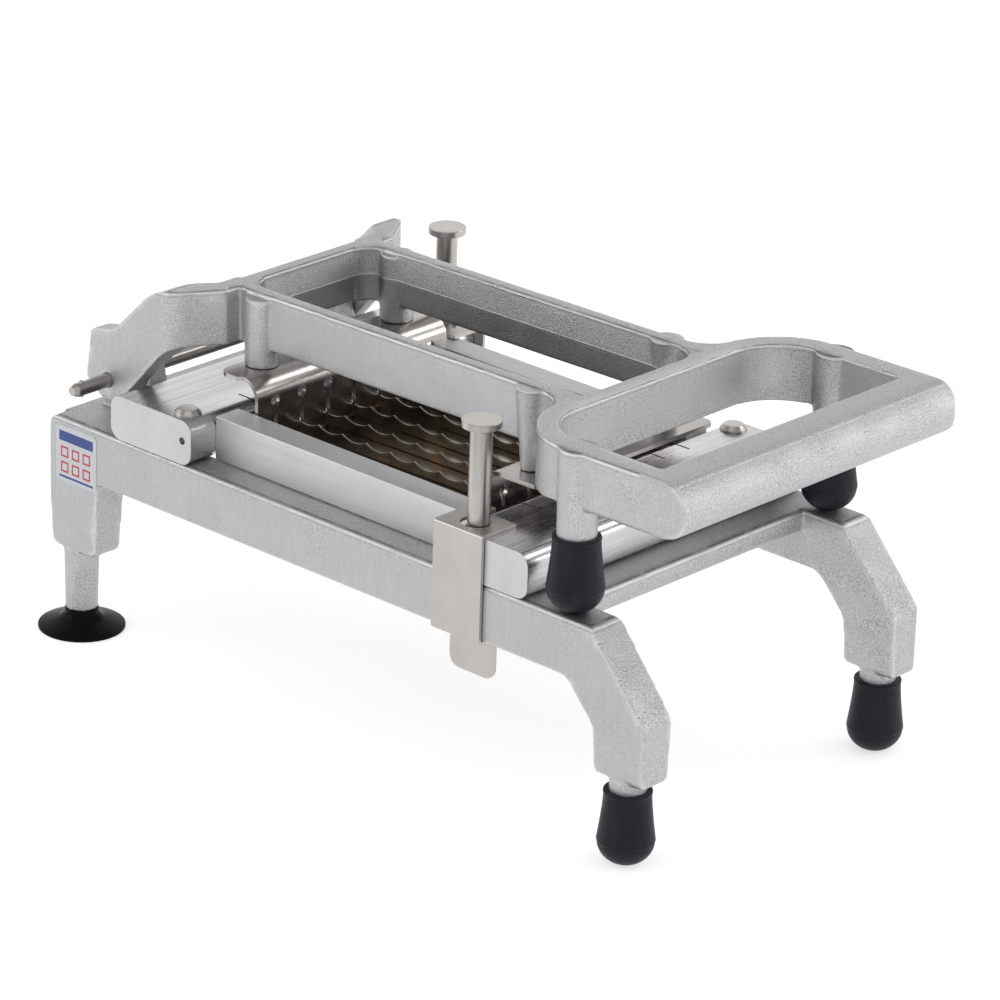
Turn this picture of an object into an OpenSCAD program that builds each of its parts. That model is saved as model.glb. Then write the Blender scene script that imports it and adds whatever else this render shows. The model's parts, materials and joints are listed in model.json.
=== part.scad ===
// Hand-operated chicken slicer: a cast stand, a cartridge of scalloped blades and a hinged lever
// that carries a slotted pusher. Millimetres, +Z up. +X points to the grip and the hinge is at the
// back. The origin lies on the table, under the middle of the slicer.

/* [Stand] */
// Length of the stand from its back face to the front of the front legs
base_l = 452; // [440:0.5:470]
// Width of the stand across its two rails
base_w = 226; // [216:1:240]
// Height of the rail tops above the table
base_top = 129.5; // [122:0.5:140]
// Width of a rail
rail_w = 23.5; // [20:0.5:26]
// How far the feet, pins and bumpers sit in from the stand's outer faces
post_in = 10.5; // [9.5:0.1:11.5]
// Depth of a rail
rail_h = 32.5; // [28:0.5:36]
// Height of the rear leg blocks' undersides above the table
leg_bottom = 50; // [46:1:54]
// Height of the front leg blocks' undersides above the table
front_leg_bottom = 48; // [45:1:54]
// Length of a rear leg block along the rail
rear_leg_l = 40.5; // [36:0.5:45]
// Length of a front leg block along the rail
front_leg_l = 34.5; // [30:0.5:38]
// How far a front foot sits behind the stand's front face
front_stub_back = 18; // [17:0.1:19]
// How far the legs narrow from top to bottom
leg_draft = 3; // [1:0.5:4]
// Forward run of the sloping part of a front leg
slope_run = 40; // [34:1:46]
// Fall of the sloping part of a front leg
slope_drop = 45; // [38:1:50]
// Thickness of the sloping part of a front leg
limb_t = 33; // [29:0.5:36]
// Thickness of the cross-bars between the rails
bar_t = 13; // [10:0.5:16]
// Length of the rear cross-bar along the rails
rear_bar_l = 78; // [70:1:90]
// Length of the front cross-bar along the rails
front_bar_l = 52; // [44:1:60]
// Distance from the front cross-bar to the bend of the front legs
front_bar_back = 26; // [20:1:32]
// Radius of the casting's outer edges
cast_r = 4; // [2:0.5:4.5]

/* [Feet] */
// Diameter of a front foot stub, and of a bumper stub, inside the rubber
stub_d = 20; // [18:0.5:21]
// Diameter of a rubber tip at its rim
tip_rim_d = 26.2; // [25:0.2:28]
// Largest diameter of a rubber tip
tip_d = 31.4; // [29:0.2:33]
// Height of a rubber tip
tip_h = 42; // [40:1:46]
// Height of a rubber tip's domed end
tip_dome = 13.5; // [12:0.5:15]
// Thickness of a rubber tip under its stub
tip_floor = 9; // [7:0.5:12]
// Diameter of a rear stub at the leg block
rear_stub_d = 20.2; // [18:0.2:20.6]
// Diameter of a rear stub at its lower end
rear_stub_end_d = 18.4; // [16:0.2:18.6]
// Diameter of a suction cup
cup_d = 50; // [44:1:56]
// Height of a suction cup with its neck
cup_h = 12.5; // [11.5:0.5:16]
// Thickness of a suction cup's rim
cup_rim_t = 2; // [1.4:0.1:2.4]
// Height of the hollow under a suction cup
cup_hollow = 4.6; // [3.5:0.1:5]
// Diameter of a suction cup's stud
stud_d = 6; // [5:0.5:7]
// Length of a suction cup's stud inside the leg
stud_l = 16; // [12:1:20]
// Length of a suction cup's stud inside the cup's neck
stud_sunk = 6; // [4:0.5:6.5]

/* [Blade cartridge] */
// Distance from the stand's back face to the cartridge
cart_back = 52.3; // [48:0.1:54]
// Length of the cartridge from end to end
cart_l = 315.7; // [300:0.5:325]
// How far the end blocks stop short of the stand's side faces
block_set = 0; // [0:0.5:3]
// Height of the end blocks
block_h = 26; // [24:0.5:30]
// Length of the rear end block along the blades
rear_block_l = 64; // [58:0.5:68]
// Length of the front end block along the blades
front_block_l = 57; // [52:0.5:62]
// Large edge radius of the end blocks
block_r = 7.5; // [5:0.5:10]
// Width of a side bar
side_bar_w = 17.7; // [15:0.1:19]
// Height of a side bar
side_bar_h = 25.3; // [22:0.1:25.4]
// Distance from the end blocks' ends to the side bars
side_bar_in = 19; // [17.5:0.1:20.5]
// Distance from the outer blades to the side bars
outer_blade_in = 14.5; // [13.5:0.1:16]
// Thickness of a blade
blade_t = 0.9; // [0.7:0.1:1.2]
// Height of a blade from its lower edge to its points
blade_h = 12.5; // [11:0.5:14]
// Height of a blade's lower edge above the rails
blade_lift = 2; // [1.5:0.5:4]
// Distance from point to point along a blade
scallop_pitch = 18.5; // [14:0.1:20]
// Distance from the rear end block to a blade's first point
scallop_start = 9; // [4:0.5:12]
// Depth of the scallops
scallop_deep = 2.6; // [1.5:0.1:3.5]
// Depth of a blade's ends below the end blocks' tops
blade_end_down = 3; // [2:0.5:5]
// Depth of the blade slits in the end blocks
slit_deep = 15; // [13:0.5:18]
// Width of the blade slits in the end blocks
slit_w = 1.3; // [1.3:0.1:1.6]
// Diameter of the two rods that hold the blades
blade_rod_d = 4.2; // [3.6:0.1:4.4]
// Height of the blade rods above the rails
rod_up = 14; // [13:0.5:15]
// Distance from the rear blade rod to the inner face of the rear end block
rear_rod_in = 6.9; // [5.5:0.1:7.5]
// Distance from the front blade rod to the inner face of the front end block
front_rod_in = 6.2; // [5:0.1:6.4]
// Depth of a blade rod's end inside the end block's face
rod_sunk = 2.5; // [1:0.5:4]
// Length of a blade rod past its last blade
rod_past = 12; // [8:1:14]
// Thread diameter of the tie screws in the side bars
tie_d = 5; // [4:0.5:5.5]
// Head diameter of the tie screws
tie_head_d = 8.5; // [8:0.1:9]
// Height of the tie screws above the rails
tie_up = 6.5; // [6:0.1:7]
// Length of a tie screw under its head
tie_l = 45; // [42:1:48]
// Length of a tie screw inside the side bar
tie_sunk = 20; // [16:1:22]

/* [Lock pins and hold-downs] */
// Diameter of a lock pin
pin_d = 12.2; // [11:0.1:13]
// Diameter of a lock pin's head
pin_head_d = 21.7; // [20:0.1:23]
// Thickness of a lock pin's head
pin_head_t = 4; // [3:0.5:5]
// Length of a lock pin under its head
pin_l = 112; // [105:1:120]
// Height of a lock pin's lower end above the underside of the rail
pin_lift = 3; // [0.5:0.5:6]
// Distance from the rear pin and dowel to the inner face of the rear end block
rear_pin_in = 13.3; // [12:0.1:15]
// Distance from the front pin and dowel to the inner face of the front end block
front_pin_in = 11.8; // [11:0.1:14]
// Diameter of a locating dowel's head
dowel_d = 15.4; // [13:0.1:16]
// Diameter of a locating dowel's flat top
dowel_top_d = 10.6; // [10.2:0.1:12]
// How far a locating dowel stands above its end block
dowel_up = 3.2; // [2.5:0.1:4]
// Depth of a locating dowel's head in its end block
dowel_sunk = 5; // [4:0.5:7]
// Diameter of a locating dowel's shank
dowel_shank_d = 6; // [5:0.1:6.4]
// Length of a locating dowel's shank inside the rail
dowel_down = 12; // [8:1:16]
// Sheet thickness of a hold-down
clip_t = 2; // [1.5:0.1:2.5]
// Width of a hold-down along the rail
clip_w = 35; // [30:0.5:38]
// Reach of a hold-down's top plate over the end block
clip_reach = 26; // [24:0.5:28]
// Reach of a hold-down's lower flange under the rail
clip_under = 14.5; // [12:0.5:16]
// Height of a hold-down's finger tab under the rail
tab_h = 26; // [20:1:30]
// Corner radius of a hold-down's finger tab
tab_r = 7; // [4:0.5:9]
// How far the finger tab's rear edge is set in
tab_set = 2.5; // [0:0.5:4]
// How far a hold-down lies behind its lock pin
clip_shift = 3; // [2:0.5:4]
// Diameter of a hold-down's hole for the lock pin
clip_hole_d = 17; // [16:0.5:18]

/* [Lever] */
// Distance from the stand's back face to the hinge
pivot_back = 29.4; // [27:0.2:32]
// Height of the hinge above the rails
pivot_up = 22.3; // [21:0.1:26]
// Distance from the hinge to the front of the grip
lever_l = 441.5; // [433:0.5:451]
// Angle of the lever above level when its bumpers touch the rails
lever_rise = 0.87; // [0.5:0.01:1.2]
// Height of the lever's top above the hinge
lever_up = 64; // [60:0.2:68]
// Depth of the lever's frame
lever_h = 33; // [29:0.5:36]
// Width across the lever's two rails
frame_w = 113.4; // [106:0.2:118]
// Thickness of the lever's rails at the middle
lever_rail_t = 10.5; // [9:0.5:12]
// How far the lever's rails narrow to their top and lower edges
lever_draft = 1.8; // [0.5:0.1:2.2]
// Distance from the hinge to the back of the rear cross-member
cross_fwd = 54.8; // [52:0.2:58]
// Thickness of the rear cross-member
cross_t = 12; // [10:0.5:14]
// Width across the outer faces of the hinge arms
arms_w = 190; // [184:1:194]
// Thickness of a hinge arm
arm_t = 12; // [10:0.5:14]
// Distance from the hinge to a hinge arm's heel
heel_back = 17; // [15:0.5:18]
// Height of a hinge arm's heel above the hinge
heel_up = 28; // [25:0.5:28.5]
// Distance from the hinge to a hinge arm's lower edge
arm_low = 13; // [11:0.5:14]
// Distance from the hinge to where a hinge arm's lower edge meets the frame
arm_root = 48; // [46:0.5:50]
// Distance from the hinge to the top of a hinge arm's slope
hump_fwd = 39; // [36:0.5:42]
// Radius at the top of a hinge arm's slope
hump_r = 30; // [24:1:32]
// Distance from the hinge to the front wall of the handle loop
loop_fwd = 314.3; // [306:0.1:318]
// Thickness of the front wall of the handle loop
loop_t = 11; // [10:0.5:14]
// How far the handle loop stops short of the stand's side faces
loop_set = 3; // [1:0.5:6]
// Thickness of the sides of the handle loop
loop_side_t = 13.5; // [11:0.5:15]
// Outer corner radius of the handle loop
loop_r = 45; // [36:1:50]
// Radius of the webs between the handle loop and the lever's rails
web_r = 20; // [14:1:24]
// Radius of the grip's ends
grip_r = 3; // [2:0.5:8]
// Depth of the grip from back to front
grip_l = 27.5; // [25:0.5:31]
// Diameter of a bumper post
bumper_post_d = 21.5; // [21:0.1:23]
// Distance from the hinge to the bumper posts
bumper_fwd = 362.6; // [356:0.2:368]
// Diameter of a rear pusher post
rear_post_d = 19.5; // [17:0.1:20.5]
// Diameter of a front pusher post at its lower end
front_post_d = 12; // [11:0.2:13]
// Distance from the hinge to the rear pusher posts
rear_post_fwd = 82; // [80:0.2:84]
// Distance from the hinge to the front pusher posts
front_post_fwd = 285.6; // [283:0.2:290]
// Distance of the pusher posts from the middle plane
post_y = 53.6; // [52:0.2:56]
// Height of the rear pusher posts' lower ends above the hinge
rear_post_up = 21; // [20:0.2:23]
// Height of the front pusher posts' lower ends above the hinge
front_post_up = 16; // [14:0.2:18]

/* [Pusher] */
// Sheet thickness of the pusher
sheet_t = 2.4; // [1.8:0.1:2.6]
// Play between the pusher's trough and the side bars
trough_play = 0.9; // [0.6:0.1:4]
// Width across the rear flange's tabs
rear_flange_w = 156; // [152:1:162]
// Width of the front flange
front_flange_w = 140; // [136:1:144]
// Distance from the hinge to the trough's rear wall
trough_fwd = 98.6; // [96:0.2:100]
// Length of the trough between its outer faces
trough_l = 174.7; // [170:0.1:176]
// Depth of the trough's bottom below the hinge
trough_low = 20.5; // [18:0.5:21.5]
// Length of the rear flange behind the rear wall
rear_flange_l = 27; // [25:0.5:34]
// Length of the front flange ahead of the front wall
front_flange_l = 34; // [30:0.5:38]
// Bend radius of the rear flange
rear_bend_r = 11.5; // [8:0.5:12]
// Bend radius of the other folds
bend_r = 4; // [3.5:0.5:5]
// Width of the pusher's slots around the blades
slot_w = 3; // [2.4:0.1:4]
// Diameter of the round hole at the top of each slot
keyhole_d = 6.5; // [5:0.1:8]
// Depth of the round holes below the rear flange
keyhole_down = 13.8; // [13:0.1:16]
// Thread diameter of the pusher's screws
screw_d = 5; // [4:0.5:5]
// Length of a pusher screw inside its post
screw_sunk = 14; // [10:1:16]

/* [Hinge pin] */
// Diameter of the hinge pin
hinge_d = 8; // [7:0.1:9]
// How far the hinge pin stands out of the near arm
hinge_out = 26.3; // [20:0.1:28]
// Diameter of the hinge pin's head
hinge_head_d = 15; // [12:0.5:16]
// Thickness of the hinge pin's head
hinge_head_t = 4; // [3:0.5:6]
// Diameter of the detent balls
ball_d = 3.2; // [2.8:0.1:3.6]
// Distance from the hinge pin's tip to its detent balls
ball_in = 7; // [6:0.5:9]
// Distance from the hinge to the back and top of a hinge ear
ear_r = 14.5; // [12:0.5:15]
// Thickness of a hinge ear
ear_t = 14; // [12:0.5:16]
// Gap between a hinge ear and the rear end block
ear_play = 1.2; // [0.8:0.1:2]

/* [Label] */
// Length of the label on the rear leg
label_l = 33; // [28:0.5:34]
// Height of the label on the rear leg
label_h = 33.5; // [28:0.5:34]

/* [Hidden] */

$fn = 64;
overlap = 1;
blade_n = 7;
// Radial play of parts that turn or slide on one another, and of parts that only sit together
run_fit = 0.06;
loose_fit = 0.3;
touch_gap = 0.3;

// Distances from the stand's back face to the rear stubs and to the front of the raised grip
rear_stub_fwd = (rear_leg_l - leg_draft) / 2 - 1.5;
grip_fwd = pivot_back + lever_l * cos(lever_rise) - (lever_up - lever_h / 2) * sin(lever_rise);
rear_x = -(grip_fwd + rear_stub_fwd - cup_d / 2) / 2;
front_x = rear_x + base_l;
bend_x = front_x - slope_run;
half_w = base_w / 2;
rail_y = half_w - post_in;
rail_in_y = half_w - rail_w;
rail_low = base_top - rail_h;

front_stub_x = front_x - front_stub_back;
rear_stub_x = rear_x + rear_stub_fwd;

cart_x0 = rear_x + cart_back;
cart_x1 = cart_x0 + cart_l;
window_x0 = cart_x0 + rear_block_l;
window_x1 = cart_x1 - front_block_l;
block_w = base_w - 2 * block_set;
block_top = base_top + block_h;
block_mid = base_top + block_h / 2;
dowel_low = base_top - dowel_down;
blade_rod_z = base_top + rod_up;
tie_z = base_top + tie_up;
pin_rear_x = window_x0 - rear_pin_in;
pin_front_x = window_x1 + front_pin_in;
rod_rear_x = window_x0 - rear_rod_in;
rod_front_x = window_x1 + front_rod_in;
side_bar_y = block_w / 2 - side_bar_in - side_bar_w / 2;
blade_pitch = 2 * (side_bar_y - side_bar_w / 2 - outer_blade_in) / (blade_n - 1);
rod_end_y = blade_y(blade_n) + rod_past;
tie_rear_x = window_x0 + tie_sunk - tie_l;
tie_front_x = window_x1 - tie_sunk + tie_l;

pivot_x = rear_x + pivot_back;
pivot_z = base_top + pivot_up;
lever_top = pivot_z + lever_up;
lever_low = lever_top - lever_h;
arm_out_y = arms_w / 2;
arm_in_y = arm_out_y - arm_t;
ear_out_y = arm_in_y - 2 * touch_gap;
ear_fwd = cart_back - pivot_back - ear_play;
loop_x0 = pivot_x + loop_fwd;
grip_x1 = pivot_x + lever_l;
loop_w = base_w - 2 * loop_set;
// Lower end of a bumper while the lever is drawn level
bumper_z = pivot_z + (base_top + touch_gap - pivot_z) * cos(lever_rise) - bumper_fwd * sin(lever_rise);
rear_post_low = pivot_z + rear_post_up;
front_post_low = pivot_z + front_post_up;
trough_x0 = pivot_x + trough_fwd;
trough_x1 = trough_x0 + trough_l;
trough_z = pivot_z - trough_low;
trough_w = 2 * (side_bar_y - side_bar_w / 2 - trough_play);
hinge_tip_y = -arm_out_y - hinge_out;
ball_y = hinge_tip_y + ball_in;

// Points of an arc that rounds the corner b between a and c
function unit(v) = v / norm(v);
function corner(a, b, c, r, n) =
    let (u = unit(a - b), w = unit(c - b), half = acos(u * w) / 2,
         o = b + unit(u + w) * r / sin(half),
         p = b + u * r / tan(half) - o, q = b + w * r / tan(half) - o,
         a0 = atan2(p.y, p.x), turn = (atan2(q.y, q.x) - a0 + 540) % 360 - 180)
    [for (i = [0:n]) o + r * [cos(a0 + turn * i / n), sin(a0 + turn * i / n)]];

// Outline through points [x, y, r], each corner rounded with its own radius
function rounded(pts, n = 6) =
    [for (i = [0:len(pts) - 1])
        let (a = pts[(i + len(pts) - 1) % len(pts)], b = pts[i], c = pts[(i + 1) % len(pts)])
        each b[2] > 0 ? corner([a.x, a.y], [b.x, b.y], [c.x, c.y], b[2], n) : [[b.x, b.y]]];

// Prisms of an outline in X and Z along Y, and of an outline in Y and Z along X
module prism_y(pts, y0, y1) {
    translate([0, y1, 0]) rotate([90, 0, 0]) linear_extrude(y1 - y0) polygon(pts);
}

module prism_x(pts, x0, x1) {
    translate([x0, 0, 0]) rotate([90, 0, 90]) linear_extrude(x1 - x0) polygon(pts);
}

module rod_y(d, x, z, y0, y1) {
    translate([x, y0, z]) rotate([-90, 0, 0]) cylinder(d = d, h = y1 - y0);
}

module rod_x(d, y, z, x0, x1) {
    translate([x0, y, z]) rotate([0, 90, 0]) cylinder(d = d, h = x1 - x0);
}

module rod_z(d, x, y, z0, z1) {
    translate([x, y, z0]) cylinder(d = d, h = z1 - z0);
}

module both_sides() {
    children();
    mirror([0, 1, 0]) children();
}

// The lever is drawn level and then raised about the hinge to where its bumpers touch
module at_rest() {
    translate([pivot_x, 0, pivot_z]) rotate([0, -lever_rise, 0]) translate([-pivot_x, 0, -pivot_z])
        children();
}

// Stand

// Side view of a rail with its rear leg and its bent front leg
function rail_side() =
    let (slope = [slope_run, -slope_drop] / norm([slope_run, slope_drop]),
         inner = [bend_x, base_top] + limb_t * [slope.y, -slope.x],
         knee_x = front_x - front_leg_l - leg_draft / 2,
         fall = slope_drop / slope_run)
    rounded([
        [rear_x + leg_draft / 2, base_top, 2 * cast_r],
        [bend_x, base_top, 2 * cast_r],
        [front_x, base_top - slope_drop, 2 * cast_r],
        [front_x, front_leg_bottom, cast_r],
        [front_x - front_leg_l, front_leg_bottom, cast_r],
        [knee_x, inner.y - (knee_x - inner.x) * fall, 3 * cast_r],
        [inner.x + (inner.y - rail_low) / fall, rail_low, 3 * cast_r],
        [rear_x + rear_leg_l, rail_low, cast_r],
        [rear_x + rear_leg_l - leg_draft, leg_bottom, cast_r],
        [rear_x + leg_draft, leg_bottom, cast_r],
        [rear_x, rail_low + 3, 3 * cast_r]]);

// Section of a rail and its legs, narrowing inwards to the bottom
function rail_section() =
    rounded([
        [half_w, base_top, cast_r],
        [half_w, rail_low - 8, 5 * cast_r],
        [half_w - leg_draft / 2, front_leg_bottom, cast_r],
        [rail_in_y + leg_draft, front_leg_bottom, cast_r],
        [rail_in_y, base_top, cast_r]]);

// Top view of a rail, rounded where its ends meet the outer face
function rail_plan() =
    rounded([
        [rear_x, rail_in_y - overlap, 0],
        [front_x, rail_in_y - overlap, 0],
        [front_x, half_w, cast_r],
        [rear_x, half_w, cast_r]]);

module rail() {
    intersection() {
        prism_y(rail_side(), rail_in_y - overlap, half_w + overlap);
        prism_x(rail_section(), rear_x - overlap, front_x + overlap);
        linear_extrude(base_top + overlap) polygon(rail_plan());
    }
}

module cross_bar(x0, x1) {
    prism_y(rounded([
        [x0, base_top, cast_r],
        [x1, base_top, cast_r],
        [x1, base_top - bar_t, cast_r],
        [x0, base_top - bar_t, cast_r]]), -rail_y, rail_y);
}

module ear() {
    prism_y(rounded([
        [pivot_x - 1.2 * ear_r, base_top - bar_t / 2, 0],
        [pivot_x + ear_fwd, base_top - bar_t / 2, 0],
        [pivot_x + ear_fwd, pivot_z, 3],
        [pivot_x + 0.8 * ear_fwd, pivot_z + ear_r, 7],
        [pivot_x - ear_r, pivot_z + ear_r, 11],
        [pivot_x - ear_r, pivot_z, 3]]), ear_out_y - ear_t, ear_out_y);
}

module leg_stubs() {
    rod_z(stub_d, front_stub_x, rail_y, tip_floor, front_leg_bottom + overlap);
    translate([rear_stub_x, rail_y, cup_h])
        cylinder(d1 = rear_stub_end_d, d2 = rear_stub_d, h = leg_bottom + overlap - cup_h);
}

module base_casting() {
    color("#b9bbbc") difference() {
        union() {
            both_sides() {
                rail();
                ear();
                leg_stubs();
            }
            cross_bar(rear_x + leg_draft / 2, rear_x + rear_bar_l);
            cross_bar(bend_x - front_bar_back - front_bar_l, bend_x - front_bar_back);
        }
        rod_y(hinge_d + 2 * run_fit, pivot_x, pivot_z, -half_w, half_w);
        for (p = [[pin_rear_x, rail_y], [pin_front_x, -rail_y]])
            rod_z(pin_d + 2 * run_fit, p.x, p.y, rail_low - overlap, base_top + overlap);
        for (p = [[pin_rear_x, -rail_y], [pin_front_x, rail_y]])
            rod_z(dowel_shank_d + 2 * loose_fit, p.x, p.y, dowel_low - overlap, base_top + overlap);
        both_sides() rod_z(stud_d, rear_stub_x, rail_y, cup_h - overlap, cup_h + stud_l);
    }
}

// Feet

// A rubber tip: a lipped rim, a waist that flares to a ridge, and a domed end below it
module rubber_tip() {
    steps = 10;
    ridge = tip_d / 2;
    rim = tip_rim_d / 2;
    lip = 0.3;
    flat = tip_dome * (1 - cos(180 / steps));
    rotate_extrude() polygon(concat(
        [[0, 0]],
        [for (i = [2:steps]) let (a = 90 * i / steps)
            [(ridge - lip) * sin(a), tip_dome * (1 - cos(a)) - flat]],
        [for (i = [0:steps]) let (s = i / steps)
            [rim - lip + (ridge - rim + lip) * pow(1 - s, 1.4),
             tip_dome - flat + 0.4 + s * (tip_h - tip_dome + flat - 2.4)]],
        [[rim, tip_h - 1.6],
         [rim, tip_h - 0.5],
         [rim - 0.5, tip_h],
         [stub_d / 2, tip_h],
         [stub_d / 2, tip_floor],
         [0, tip_floor]]));
}

module foot_near() {
    color("#232a33") translate([front_stub_x, -rail_y, 0]) rubber_tip();
}

module foot_far() {
    color("#232a33") translate([front_stub_x, rail_y, 0]) rubber_tip();
}

module suction_cup() {
    neck = (rear_stub_end_d + overlap) / 2;
    rim = cup_d / 2;
    rotate_extrude() polygon(concat(
        rounded([
            [rim, 0, 0.3],
            [rim, cup_rim_t, 0.6],
            [neck + 3, 0.5 * cup_h, 6],
            [neck, cup_h - 3, 3],
            [neck, cup_h, 0.8],
            [stud_d / 2, cup_h, 0]]),
        [[stud_d / 2, cup_h - stud_sunk],
         [0, cup_h - stud_sunk],
         [0, cup_hollow],
         [0.4 * rim, 0.85 * cup_hollow],
         [rim - 2, 0]]));
}

module suction_cup_near() {
    color("#1c2026") translate([rear_stub_x, -rail_y, 0]) suction_cup();
}

module suction_cup_far() {
    color("#1c2026") translate([rear_stub_x, rail_y, 0]) suction_cup();
}

module cup_studs() {
    color("#c9cacb") both_sides()
        rod_z(stud_d, rear_stub_x, rail_y, cup_h - stud_sunk, cup_h + stud_l);
}

module side_label() {
    label_t = 0.2;
    x0 = rear_x + rear_leg_l - label_l;
    z1 = base_top - cast_r - 0.5;
    color("#eef0f4") prism_y(rounded([
        [x0, z1 - label_h, 2.5],
        [x0 + label_l, z1 - label_h, 2.5],
        [x0 + label_l, z1, 2.5],
        [x0, z1, 2.5]]), -half_w - label_t, -half_w);
}

// Blade cartridge

module dowel(x, y) {
    cone = (dowel_d - dowel_top_d) / 2;
    color("#c4c3bf") {
        rod_z(dowel_shank_d, x, y, dowel_low, block_top);
        rod_z(dowel_d, x, y, block_top - dowel_sunk, block_top + dowel_up - cone);
        translate([x, y, block_top + dowel_up - cone])
            cylinder(d1 = dowel_d, d2 = dowel_top_d, h = cone);
    }
}

module dowel_near() {
    dowel(pin_rear_x, -rail_y);
}

module dowel_far() {
    dowel(pin_front_x, rail_y);
}

// A hole for a dowel's head and shank
module dowel_hole(x, y) {
    rod_z(dowel_shank_d, x, y, base_top - overlap, block_top);
    rod_z(dowel_d, x, y, block_top - dowel_sunk, block_top + overlap);
}

// A hole for a lock pin with a broken upper edge
module pin_hole(x, y) {
    hole_d = pin_d + 2 * loose_fit;
    edge = 0.5;
    rod_z(hole_d, x, y, base_top - overlap, block_top + overlap);
    translate([x, y, block_top - edge]) cylinder(d1 = hole_d, d2 = hole_d + 4 * edge, h = 2 * edge);
}

module blade_slits(x0, x1) {
    for (i = [1:blade_n])
        translate([x0, blade_y(i) - slit_w / 2, base_top + blade_lift - touch_gap])
            cube([x1 - x0, slit_w, block_h]);
}

module end_block(x0, x1) {
    prism_y(rounded([
        [x0, base_top, block_r],
        [x0, block_top, block_r],
        [x1, block_top, block_r],
        [x1, base_top, block_r]]), -block_w / 2, block_w / 2);
}

module rear_block() {
    color("#d3d4d5") difference() {
        end_block(cart_x0, window_x0);
        dowel_hole(pin_rear_x, -rail_y);
        pin_hole(pin_rear_x, rail_y);
        blade_slits(window_x0 - slit_deep, window_x0 + overlap);
        rod_y(blade_rod_d + 2 * run_fit, rod_rear_x, blade_rod_z, -half_w, rod_end_y);
        both_sides() {
            rod_x(tie_d + 2 * loose_fit, side_bar_y, tie_z, cart_x0 - overlap, window_x0 + overlap);
            rod_x(tie_head_d + 2 * loose_fit, side_bar_y, tie_z, cart_x0 - overlap, tie_rear_x);
        }
    }
}

module front_block() {
    color("#d3d4d5") difference() {
        end_block(window_x1, cart_x1);
        pin_hole(pin_front_x, -rail_y);
        dowel_hole(pin_front_x, rail_y);
        blade_slits(window_x1 - overlap, window_x1 + slit_deep);
        rod_y(blade_rod_d + 2 * run_fit, rod_front_x, blade_rod_z, -rod_end_y, half_w);
        both_sides() {
            rod_x(tie_d + 2 * loose_fit, side_bar_y, tie_z, window_x1 - overlap, cart_x1 + overlap);
            rod_x(tie_head_d + 2 * loose_fit, side_bar_y, tie_z, tie_front_x, cart_x1 + overlap);
        }
    }
}

module side_bar() {
    y0 = side_bar_y - side_bar_w / 2;
    y1 = side_bar_y + side_bar_w / 2;
    z0 = block_mid - side_bar_h / 2;
    z1 = block_mid + side_bar_h / 2;
    edge = 0.5;
    difference() {
        prism_x(rounded([[y0, z0, edge], [y1, z0, edge], [y1, z1, edge], [y0, z1, edge]], 2),
            window_x0, window_x1);
        rod_x(tie_d, side_bar_y, tie_z, window_x0 - overlap, window_x0 + tie_sunk);
        rod_x(tie_d, side_bar_y, tie_z, window_x1 - tie_sunk, window_x1 + overlap);
    }
}

module side_bar_near() {
    color("#d9dadb") mirror([0, 1, 0]) side_bar();
}

module side_bar_far() {
    color("#d9dadb") side_bar();
}

module tie_screws() {
    color("#bdbcb8") both_sides() {
        head_h = tie_d;
        rod_x(tie_d, side_bar_y, tie_z, tie_rear_x - overlap, window_x0 + tie_sunk);
        rod_x(tie_head_d, side_bar_y, tie_z, tie_rear_x - head_h, tie_rear_x);
        rod_x(tie_d, side_bar_y, tie_z, window_x1 - tie_sunk, tie_front_x + overlap);
        rod_x(tie_head_d, side_bar_y, tie_z, tie_front_x, tie_front_x + head_h);
    }
}

// Side position of the blades, numbered from the near side
function blade_y(i) = (i - (blade_n + 1) / 2) * blade_pitch;

// Upper edge of a blade: hollow arcs that meet in points
function scallops(x0, x1, z) =
    let (n = floor((x1 - x0) / scallop_pitch), steps = 6)
    [for (i = [0:n * steps])
        let (t = (i % steps) / steps)
        [x0 + i * scallop_pitch / steps, z - 4 * scallop_deep * t * (1 - t)]];

module blade(i) {
    x0 = window_x0 - slit_deep + touch_gap;
    x1 = window_x1 + slit_deep - touch_gap;
    z0 = base_top + blade_lift;
    end_z = block_top - blade_end_down;
    run_out = 2;
    color("#85807a") difference() {
        prism_y(concat(
            [[x1, z0], [x0, z0], [x0, end_z], [window_x0, end_z], [window_x0 + run_out, z0 + blade_h]],
            scallops(window_x0 + scallop_start, window_x1 - run_out, z0 + blade_h),
            [[window_x1, end_z], [x1, end_z]]),
            blade_y(i) - blade_t / 2, blade_y(i) + blade_t / 2);
        for (x = [rod_rear_x, rod_front_x])
            rod_y(blade_rod_d + 2 * run_fit, x, blade_rod_z, blade_y(i) - blade_t, blade_y(i) + blade_t);
    }
}

module blade_1() {
    blade(1);
}

module blade_2() {
    blade(2);
}

module blade_3() {
    blade(3);
}

module blade_4() {
    blade(4);
}

module blade_5() {
    blade(5);
}

module blade_6() {
    blade(6);
}

module blade_7() {
    blade(7);
}

// Each rod goes in from the end of its block that has the dowel, and stops past the last blade
module blade_rod_rear() {
    color("#a9a7a2")
        rod_y(blade_rod_d, rod_rear_x, blade_rod_z, rod_sunk - block_w / 2, rod_end_y - touch_gap);
}

module blade_rod_front() {
    color("#a9a7a2")
        rod_y(blade_rod_d, rod_front_x, blade_rod_z, touch_gap - rod_end_y, block_w / 2 - rod_sunk);
}

// Lock pins and hold-downs

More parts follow.
